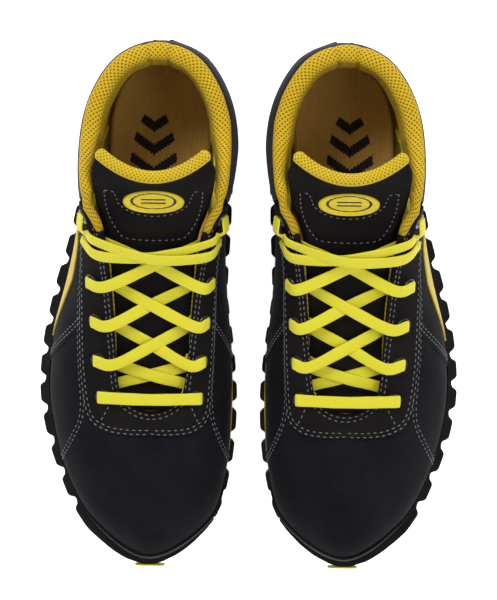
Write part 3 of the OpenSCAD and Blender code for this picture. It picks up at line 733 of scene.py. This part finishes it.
def tabShape():
    columns, points = tab["columns"], []
    for depth, inset in tab["rings"]:
        for k in range(columns):
            a = 2 * math.pi * k / columns
            x = squared(math.cos(a), tab["powers"][0]) * (tabHalf[0] - inset)
            z = squared(math.sin(a), tab["powers"][1]) * (tabHalf[2] - inset)
            points.append(tabMiddle + [x, tabHalf[1] * depth, z])
    faces = gridFaces(len(tab["rings"]), columns, closedColumns=True)
    faces += [list(range(columns)), list(range(len(points) - columns, len(points)))[::-1]]
    return points, faces, None


makePair("ToeTab", "boot", tabShape(), yellowRubber, ["toe_tab"])
print("trim made")

# The tongue: a padded tube flattened from the toe to its top edge, quilted where it is sewn
tongue = {"room": 4.0, "thick": 6.0, "columns": [9, 8.5, 8, 7.5, 7, 6.5, 6, 5.5, 5, 4.5],
          "tops": [(64, 32.5, 150), (71, 31, 158), (76, 29, 164)], "dip": (-1.5, -3, -3),
          "scoop": (5, 10, 13)}
quilt = {"pressure": 4.0, "frames": 20, "limit": 1.4,       # of the cloth step; limit is how far it may swell
         "hold": 1.6, "loose": 108, "dent": 0.75, "dentWidth": 1.4, "crease": 0.25}


def tongueTop(i, s):
    y, halfWidth, z = tongue["tops"][i]
    bow = 1 - np.asarray(s, float) ** 2
    return np.stack([centreX(y) + np.asarray(s, float) * halfWidth, y - tongue["scoop"][i] * bow,
                     z + tongue["dip"][i] * bow], -1)


def tongueLoop(c):
    far = lapColumns - c
    edge = lambda k, u, deep: onForm(k, u, float(liningIn(k, u)) - tongue["room"] - deep)
    a, b, d, e = edge(c, 0.84, 0), edge(c, 0.97, 0), edge(far, 0.97, 0), edge(far, 0.84, 0)
    middle, down = (b + d) / 2, np.array([0, 0.35, -0.93]) * tongue["thick"]
    left, right = (b + middle) / 2, (d + middle) / 2
    return [a, b, left, middle, right, d, e, edge(far, 0.84, 2.5), d + down * 0.6, right + down,
            middle + down, left + down, b + down * 0.6, edge(c, 0.84, 2.5)]


def topLoop(i):
    spans = [-1, -0.85, -0.45, 0, 0.45, 0.85, 1]
    down = np.array([0, 4.4, -1.6]) * tongue["thick"] / 6 * (1, 0.8, 0.5)[i]
    return ([tongueTop(i, s) for s in spans]
            + [tongueTop(i, s) + down * (0.5 if abs(s) == 1 else 1) for s in spans[::-1]])


def smoothLoop(loop, perSpan):
    loop = np.asarray(loop)
    t = np.linspace(0, 1, perSpan, endpoint=False)[:, None]
    out = []
    for i in range(len(loop)):
        a, b, c, d = (loop[(i + k) % len(loop)] for k in (-1, 0, 1, 2))
        hard = b + (c - b) * t
        sharp = i in (6, 13)                # the loop turns sharply at the tongue's two edges
        out.append(hard if sharp else 0.75 * between(a, b, c, d, t) + 0.25 * hard)
    return np.concatenate(out)


def tongueShape():
    loops = np.array([tongueLoop(c) for c in tongue["columns"]] + [topLoop(i) for i in range(3)])
    stations = smoothPath(loops.reshape(len(loops), -1), 9).reshape(-1, 14, 3)
    rows = np.array([smoothLoop(loop, 6) for loop in stations])
    n, m = rows.shape[:2]
    points = rows.reshape(-1, 3)
    faces = gridFaces(n, m, closedColumns=True)
    span = m // 14
    for base, flip in ((0, False), ((n - 1) * m, True)):
        front = list(range(6 * span + 1))
        for j in front[:-1]:
            face = [j, j + 1, 13 * span - j - 1, 13 * span - j]
            if j == 0:
                face = [0, 1, 13 * span - 1, 13 * span] + list(range(13 * span + 1, m))
            elif j == 6 * span - 1:
                face = [j] + list(range(6 * span, 7 * span + 1)) + [7 * span + 1]
            faces.append([base + k for k in (face[::-1] if flip else face)])
    return points, faces


tonguePoints, tongueFaces = tongueShape()
tongueTree = BVHTree.FromPolygons([Vector(p) for p in tonguePoints], tongueFaces)


def onTongue(x, y):
    hit, normal, _, _ = tongueTree.ray_cast(Vector((x, y, 260)), Vector((0, 0, -1)))
    return (np.array(hit), np.array(normal) * math.copysign(1, normal[2])) if hit else (None, None)


# Lines sewn through the tongue, as stops of x across it and y
tongueSeams = [
    [(-26, 58), (-25.3, 51), (-23, 43.5), (-19, 37), (-14.5, 33.6), (0, 32.6), (14.5, 33.6), (19, 37),
     (23, 43.5), (25.3, 51), (26, 58)],
    [(-26, 58), (-21.7, 57.6), (-19.5, 54), (-18, 51), (-11, 46.8), (0, 45.2), (11, 46.8), (18, 51),
     (19.5, 54), (21.7, 57.6), (26, 58)],
    [(-15, 25.6), (-8, 23.4), (0, 22.6), (8, 23.4), (15, 25.6)],
    [(-14.4, 23.3), (-7.6, 21.1), (0, 20.3), (7.6, 21.1), (14.4, 23.3)],
]


def seamPath(stops, step=0.8):
    path = smoothPath(np.array(stops, float), 12)
    path = np.stack([path[:, 0] + centreX(path[:, 1]), path[:, 1]], -1)
    return evenly(np.column_stack([path, 0 * path[:, 0]]), step)[:, :2]


seamPoints = np.concatenate([seamPath(stops) for stops in tongueSeams])


# Swells the tongue between its seams with a cloth step, then presses the seams in
def quilted(piece):
    mesh = piece.data
    rest = np.array([v.co for v in mesh.vertices], float)
    normal = np.array([v.normal for v in mesh.vertices], float)
    here = rest[:, :2] / metre
    near = np.sqrt(((here[:, None] - seamPoints[None]) ** 2).sum(-1)).min(1)
    held = (near < quilt["hold"]) & (normal[:, 2] > 0)
    group = piece.vertex_groups.new(name="sewn")
    ends = (rest[:, 1] / metre < tongueTop(0, 1)[1] - quilt["loose"]) | (normal[:, 2] < -0.2)
    group.add([int(i) for i in np.nonzero(held | ends)[0]], 1.0, "REPLACE")
    cloth = piece.modifiers.new("padding", "CLOTH")
    settings = cloth.settings
    settings.quality, settings.mass = 6, 0.2
    settings.use_pressure, settings.uniform_pressure_force = True, quilt["pressure"]
    settings.vertex_group_mass = "sewn"
    settings.effector_weights.gravity = 0
    cloth.point_cache.frame_end = quilt["frames"]
    for step in range(1, quilt["frames"] + 1):
        bpy.context.scene.frame_set(step)
    graph = bpy.context.evaluated_depsgraph_get()
    swollen = np.array([v.co for v in piece.evaluated_get(graph).data.vertices], float)
    piece.modifiers.clear()
    piece.vertex_groups.clear()
    bpy.context.scene.frame_set(1)
    move = swollen - rest
    size = np.linalg.norm(move, axis=1, keepdims=True)
    limit = quilt["limit"] * metre
    rest = rest + move * (limit * np.tanh(size / limit) / np.maximum(size, 1e-9))
    dent = quilt["dent"] * np.exp(-(near / quilt["dentWidth"]) ** 2) * (normal[:, 2] > 0)
    crease = quilt["crease"] * smoothNoise(rest / metre, 30, 5)
    rest = rest + normal * ((crease - dent) * metre)[:, None]
    mesh.vertices.foreach_set("co", rest.ravel())
    mesh.update()


rightTongue = makeMesh("rightTongue", tonguePoints, tongueFaces)
quilted(rightTongue)
tongueCo = np.array([v.co for v in rightTongue.data.vertices], float) / metre
leftTongue = makeMesh("leftTongue", tongueCo * [-1, 1, 1], tongueFaces)
for side, piece in (("right", rightTongue), ("left", leftTongue)):
    piece.data.materials.append(facingLeather)
    smoothing = piece.modifiers.new("smooth", "SUBSURF")
    smoothing.levels = smoothing.render_levels = 1
    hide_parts(side + "_tongue")
    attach(piece, side + "_tongue_flap")
tongueTree = BVHTree.FromPolygons([Vector(p) for p in tongueCo], tongueFaces)

# The mesh tape bound over the tongue's top edge
binding = {"radius": 2.5, "flatter": 1.35, "step": 0.5, "lift": (0, 1.2, 1.7), "up": (0, 0.2, 1.0),
           "end": 2.2, "dimple": 2.3, "dimpleDepth": 0.09}


def tapeRelief(run, angle):
    wave = np.cos(2 * math.pi * run / binding["dimple"]) * np.cos(angle * 7)
    return 1 - binding["dimpleDepth"] * np.clip(1.5 * wave - 0.3, 0, 1)


def bindingShape():
    path = evenly(tongueTop(2, np.linspace(-1, 1, 60)) + binding["lift"], binding["step"])
    count = np.arange(len(path))
    toEnd = np.minimum(count, count[::-1]) * binding["step"]
    radius = np.sqrt(np.clip(toEnd / binding["end"] + 0.12, 0, 1)) * binding["radius"]
    ups = np.tile(binding["up"], (len(path), 1))
    return ribbon(path, ups, radius * binding["flatter"], radius, 42, 2.1, tapeRelief)


for piece in makePair("TongueBinding", "tongue_flap", bindingShape(), bindingMesh, ["tongue_binding"]):
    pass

# A plain raised label with a border, an inked ring and two inked bars
label = {"halfWidth": 16.3, "halfHeight": 5.3, "y": 52.6, "thick": 1.3, "border": 0.45, "raised": 0.25,
         "ring": (0.66, 0.75), "barHalf": 6.5, "bars": (0.5, 1.2)}


def labelShape():
    rings, columns = 44, 220
    points = []
    for i in range(rings):
        r = (i + 0.3) / (rings - 0.7)
        for k in range(columns):
            a = 2 * math.pi * k / columns
            x = r * label["halfWidth"] * squared(math.cos(a), 0.9)
            y = r * label["halfHeight"] * math.sin(a)
            hit, normal = onTongue(centreX(label["y"]) + x, label["y"] + y)
            lift = label["thick"] * math.sqrt(max(0.0, 1 - max(0.0, (r - 0.93) / 0.07) ** 2)) - 0.1
            border = label["border"] * math.exp(-(((r - 0.87) / 0.05) ** 2))
            points.append(hit + normal * (lift + border + label["raised"] * marked(x, y)))
    faces = gridFaces(rings, columns, closedColumns=True)
    start = len(points)
    points += [points[(rings - 1) * columns + k] - np.array([0, 0, 0.8]) for k in range(columns)]
    last = (rings - 1) * columns
    faces += [[start + k, start + (k + 1) % columns, last + (k + 1) % columns, last + k]
              for k in range(columns)]
    faces += [list(range(columns)), list(range(start, start + columns))[::-1]]
    return np.array(points), faces, None


def marked(x, y):
    r = math.hypot(x / label["halfWidth"], y / label["halfHeight"])
    (ringIn, ringOut), (barLow, barHigh) = label["ring"], label["bars"]
    return float(ringIn < r < ringOut or abs(x) < label["barHalf"] and barLow < abs(y) < barHigh)


def inked(piece):
    piece.data.materials.append(printInk)
    for face in piece.data.polygons:
        y = face.center[1] / metre
        x = -abs(face.center[0]) / metre - centreX(y)
        face.material_index = int(face.normal[2] > 0.2 and marked(x, y - label["y"]))


makePair("TongueLabel", "tongue_flap", labelShape(), yellowRubber, ["tongue_label"], finish=inked)
print("tongues made")

# The footbed, dished and ribbed, with a plain print at the heel
footbed = {"inset": 7.0, "rib": 1.7, "ribHeight": 0.22, "rim": 4.0,
           "printX": -4.5, "printY": 66, "printHalf": (14, 44), "pitch": 13, "chevron": 6, "slant": 0.7}


def footbedShape():
    along01 = np.linspace(0.12, 9.88, 300)
    side01 = np.linspace(-1, 1, 170)
    lateral, medial = (featherEdge(c, -footbed["inset"]) for c in (along01, lapColumns - along01))
    x = lateral[:, None, 0] + (medial - lateral)[:, None, 0] * (side01[None] + 1) / 2
    y = lateral[:, None, 1] + (medial - lateral)[:, None, 1] * (side01[None] + 1) / 2
    width = np.abs(medial - lateral)[:, 0][:, None]
    inward = (1 - np.abs(side01))[None] * width / 2
    rise = np.interp(y, [-60, 40, 140], [0.4, 3.0, 4.0]) * np.exp(-(inward / 7.0) ** 1.6)
    ribs = footbed["ribHeight"] * np.cos(2 * math.pi * (x - centreX(y)) / footbed["rib"])
    roll = -1.6 * np.exp(-(inward / 0.9) ** 2)
    top = np.stack([x, y, featherZ(y) + footbed["rim"] + rise + ribs + roll], -1)
    under = top.copy()
    under[..., 2] = featherZ(y) + 0.7
    points = np.concatenate([top.reshape(-1, 3), under.reshape(-1, 3)])
    return points, sheetFaces(*top.shape[:2]), None


def printed(piece):
    piece.data.materials.append(printInk)
    for face in piece.data.polygons:
        y = face.center[1] / metre
        x, y = -abs(face.center[0]) / metre - centreX(y) - footbed["printX"], y - footbed["printY"]
        halfWidth, halfLength = footbed["printHalf"]
        reach = halfWidth * math.sqrt(max(0.0, 1 - (y / halfLength) ** 2))
        onChevron = (y - footbed["slant"] * abs(x) + 100) % footbed["pitch"] < footbed["chevron"]
        face.material_index = int(face.normal[2] > 0.3 and onChevron and abs(x) < reach and reach > 5)


for piece in makePair("Footbed", "insole", footbedShape(), footbedCloth, ["footbed"],
                      finish=printed):
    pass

# The foam midsole that shows between the upper and the rubber
sole = {"flare": [7, 5.5, 6.5, 8, 8.2, 7.6, 6.3, 6, 5.6, 6.8, 5.6, 3.5, 3.5, 3.5, 2.5, 1.5, 5.5, 7, 5, 3, 7],
        "wallIn": 4.9, "tops": [(-150, 27), (-120, 22), (-70, 18), (-20, 17.5), (20, 18), (60, 21), (110, 24),
                                (150, 27)],
        "floors": [(-150, 21), (-120, 13), (-90, 8), (150, 8)]}


def midsoleShape():
    c = np.linspace(0, lapColumns, 300, endpoint=False)
    edge = np.interp(c, range(lapColumns + 1), sole["flare"]) - sole["wallIn"] - 0.25
    loops = []
    y = featherEdge(c, edge)[:, 1] / lengthScale
    floor = np.interp(y, *zip(*sole["floors"])) + 0.25
    rim = np.interp(y, *zip(*sole["tops"]))
    seat = featherZ(featherEdge(c, 0)[:, 1])
    for share, low, z in ((1, 0, floor), (1, 0, floor + (rim - floor) * 0.4), (1, 0, rim - 0.8),
                          (0.97, 0, rim - 0.1), (0.88, 0, rim + 0.3), (0.5, 0, (rim + seat) / 2 - 0.6),
                          (0, 0.9, seat - 1.0), (0, 0.3, seat - 0.2), (0, -1.2, seat - 0.15)):
        p = featherEdge(c, edge * share + low)
        loops.append(np.stack([p[:, 0], p[:, 1], z], -1))
    n = len(c)
    points = np.concatenate(loops)
    faces = gridFaces(len(loops), n, closedColumns=True)
    half = n // 2
    for base, flip in ((0, True), ((len(loops) - 1) * n, False)):
        for i in range(half):
            a, b, d, e = base + i, base + i + 1, base + (n - i - 1) % n, base + (n - i) % n
            face = [k for k in dict.fromkeys((a, b, d, e))]
            if len(face) > 2:
                faces.append(face if flip else face[::-1])
    return points, faces, None


makePair("Midsole", "boot", midsoleShape(), midsoleFoam, ["midsole"])

# Nodes that keep their shape, with their finish and the rounding of their edges
finished = {"shank": (plain("shankSteel", (0.4, 0.4, 0.42), (0.5, 0.5, 0.52), 0.35, 300, Metallic=1.0), 0.2),
            "insole_board": (plain("boardFibre", (0.45, 0.37, 0.25), (0.58, 0.5, 0.36), 0.9, 700), 0),
            "toe_cap": (plain("capShell", (0.16, 0.16, 0.17), (0.22, 0.22, 0.23), 0.5, 500), 0),
            "heel_counter": (plain("counterBoard", (0.2, 0.19, 0.18), (0.27, 0.26, 0.25), 0.8, 500), 0),
            "eyelets": (eyeletEnamel, 0.12), "aglets": (agletWrap, 0), "outsole": (outsoleRubber, 0.6)}
for side in ("right", "left"):
    for node, (material, rounding) in finished.items():
        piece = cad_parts[f"{side}_{node}"]
        piece.data.materials.clear()
        piece.data.materials.append(material)
        if rounding:
            bevel = piece.modifiers.new("bevel", "BEVEL")
            bevel.width = rounding * metre
            bevel.segments, bevel.limit_method, bevel.angle_limit = 2, "ANGLE", math.radians(40)
            bevel.use_clamp_overlap = True
print("sole made")

# Stitching: short threads laid on whatever surface is outermost along each line
stitch = {"long": 2.3, "gap": 1.2, "radius": 0.29, "apart": 2.2}
sewnOn = [bpy.data.objects["right" + name] for name in
          ("Vamp", "LateralSidePanel", "MedialSidePanel", "LateralQuarter", "MedialQuarter", "HeelPanel",
           "CollarPanel", "Facing")]
trees = [BVHTree.FromPolygons([v.co / metre for v in piece.data.vertices],
                              [list(face.vertices) for face in piece.data.polygons]) for piece in sewnOn]


def onUpper(point, way):
    hits = [tree.ray_cast(Vector(point + way * 12), Vector(-way), 20) for tree in trees]
    hits = [(hit[3], hit[0], hit[1]) for hit in hits if hit[0] is not None]
    return (np.array(min(hits, key=lambda hit: hit[0])[1]), np.array(way)) if hits else (None, None)


def sewnLine(stops, offsets):
    lines = []
    stops = np.column_stack([np.array(stops, float) * [10, 100], np.zeros(len(stops))])   # about millimetres
    path = evenly(smoothPath(stops, 14), 0.5)
    c, u = path[:, 0] / 10, path[:, 1] / 100
    base, way = form(c, u), formOut(c, u)
    side = unit(np.cross(way, np.gradient(base, axis=0)))
    for offset in offsets:
        lines.append([onUpper(p, w) for p, w in zip(base + side * offset, way)])
    return lines


def threads(lines):
    shapes = []
    for line in lines:
        line = [(p, n) for p, n in line if p is not None]
        if len(line) < 3:
            continue
        path = evenly(np.column_stack([np.array([p for p, _ in line]), np.array([n for _, n in line])]), 0.25)
        pitch = int(round((stitch["long"] + stitch["gap"]) / 0.25))
        count = int(round(stitch["long"] / 0.25))
        for start in range(0, len(path) - count, pitch):
            dash = path[start:start + count + 1:2]
            if len(dash) < 3:
                continue
            bow = np.sin(np.linspace(0, math.pi, len(dash)))
            ups = unit(dash[:, 3:6])
            centre = dash[:, :3] + ups * (0.32 * bow - 0.12)[:, None]
            size = stitch["radius"] * np.sqrt(np.clip(bow * 1.6, 0.12, 1))
            shapes.append(ribbon(centre, ups, size * 1.15, size, 7, 2.0))
    return joinShapes(shapes)


double, close = (-stitch["apart"] / 2, stitch["apart"] / 2), (-1.1, 1.1)
sideSeams = [       # sewn on both halves, as stops of column and height
    ([(4.85, 0.66), (5.2, 0.638), (6.3, 0.632), (7.2, 0.63), (7.55, 0.61), (7.74, 0.53), (7.83, 0.3),
      (7.84, 0.06)], double),                                               # side and vamp seam
    ([(6.08, 0.65), (6.08, 0.45), (6.08, 0.25), (6.08, 0.06)], double),     # quarter seam
    ([(4.32, 0.77), (4.62, 0.7), (5.05, 0.682), (6.3, 0.68), (7.5, 0.68), (7.9, 0.705), (8.25, 0.765),
      (8.6, 0.815), (9, 0.86), (9.5, 0.897), (10, 0.914)], double),         # facing's outer edge
    ([(4.9, 0.945), (5.5, 0.955), (6.3, 0.955), (7.2, 0.955), (7.9, 0.95)], double),    # facing's inner edge
    ([(7.95, 0.93), (8.05, 0.86), (8.1, 0.8), (8.12, 0.75)], (0,)),         # diagonal
    ([(2.06, 0.76), (2.04, 0.5), (2.02, 0.25), (2.0, 0.06)], double),       # heel panel
]
lines = []
for mirrored in (False, True):
    for stops, offsets in sideSeams:
        lines += sewnLine([(lapColumns - c if mirrored else c, u) for c, u in stops], offsets)
lines += sewnLine([(7.95, 0.957), (8.7, 0.965), (9.3, 0.972), (10, 0.975), (10.7, 0.972), (11.3, 0.965),
                   (12.05, 0.957)], close)                                  # round the throat
lines += sewnLine([(c, 0.765) for c in (-3.95, -2, 0, 2, 3.95)], double)    # under the collar
makePair("Stitching", "boot", threads(lines), threadGrey, ())
tongueLines = [[onTongue(x, y) for x, y in seamPath(stops, 0.5)] for stops in tongueSeams]
makePair("TongueStitching", "tongue_flap", threads(tongueLines), threadGrey, ())
print("stitching made")
floorMaterial, floorTree, floorShader = startMaterial("floorPaper", (0.9, 0.9, 0.9), 0.9)
floorSpeck = noiseOf(floorTree, place(floorTree), 40, 2)
bumpOn(floorTree, floorShader, (floorSpeck, 0.0005, 0.05))
floorShader.inputs["Emission Color"].default_value = (1, 1, 1, 1)
floorShader.inputs["Emission Strength"].default_value = 0.9
corners = [(-3000, -3000, 0), (3000, -3000, 0), (3000, 3000, 0), (-3000, 3000, 0)]
floor = makeMesh("floor", corners, [[0, 1, 2, 3]])
floor.data.materials.append(floorMaterial)


def softLight(name, spot, aim, size, power):
    light = bpy.data.lights.new(name, "AREA")
    light.shape, light.size, light.energy = "DISK", size, power
    lamp = bpy.data.objects.new(name, light)
    bpy.context.scene.collection.objects.link(lamp)
    lamp.location = spot
    way = np.array(aim, float) - np.array(spot, float)
    lamp.rotation_euler = (math.atan2(math.hypot(way[0], way[1]), -way[2]), 0,
                           math.atan2(-way[0], way[1]) if abs(way[0]) + abs(way[1]) > 1e-6 else 0)


softLight("keyLight", (-0.5, 0.9, 1.6), (0, 0, 0.05), 0.9, 18)
softLight("fillLight", (0.9, -0.4, 1.5), (0, 0, 0.05), 1.0, 10)
softLight("heelLight", (0.0, 1.6, 0.8), (0, 0.05, 0.08), 0.8, 6)
world = bpy.data.worlds.new("studio")
bpy.context.scene.world = world
world.use_nodes = True
world.node_tree.nodes["Background"].inputs["Color"].default_value = (1, 1, 1, 1)
world.node_tree.nodes["Background"].inputs["Strength"].default_value = 0.68
